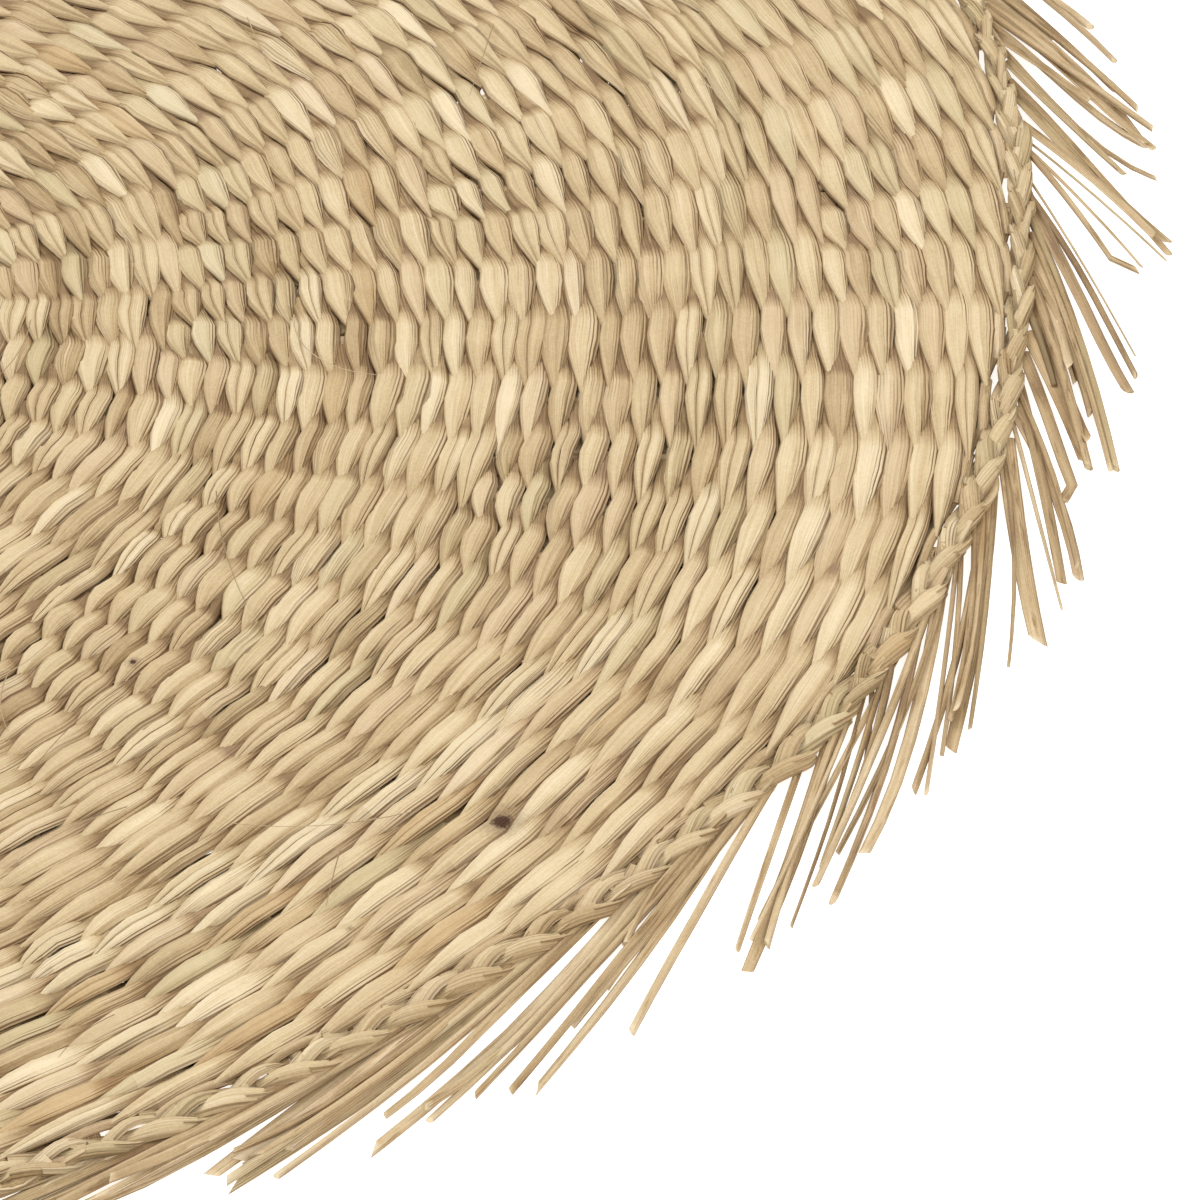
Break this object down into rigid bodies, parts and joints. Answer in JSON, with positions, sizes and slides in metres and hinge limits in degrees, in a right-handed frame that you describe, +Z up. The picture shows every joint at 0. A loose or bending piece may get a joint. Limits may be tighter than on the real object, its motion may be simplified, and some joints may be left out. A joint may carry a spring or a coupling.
{
  "type": "round woven placemat with a fringe",
  "caption": "Flat round placemat twined from natural rush, with a braided rim and a swept fringe of spoke ends.",
  "frame": {"origin": "centre of the mat on its flat underside, at the level of the table", "axes": "+Z up out of the mat's upper face; +X and +Y lie in the plane of the mat"},
  "size_m": [0.4099, 0.4073, 0.004],
  "materials": {
    "woven_rush": "dry natural rush leaf with a slight waxy sheen",
    "braided_rush": "dry natural rush leaf, plaited",
    "rush_ends": "dry natural rush leaf and stem ends, matt"
  },
  "bodies": {
    "root": {"woven_field": "woven_rush", "braided_rim": "braided_rush", "fringe": "rush_ends"}
  },
  "joints": []
}
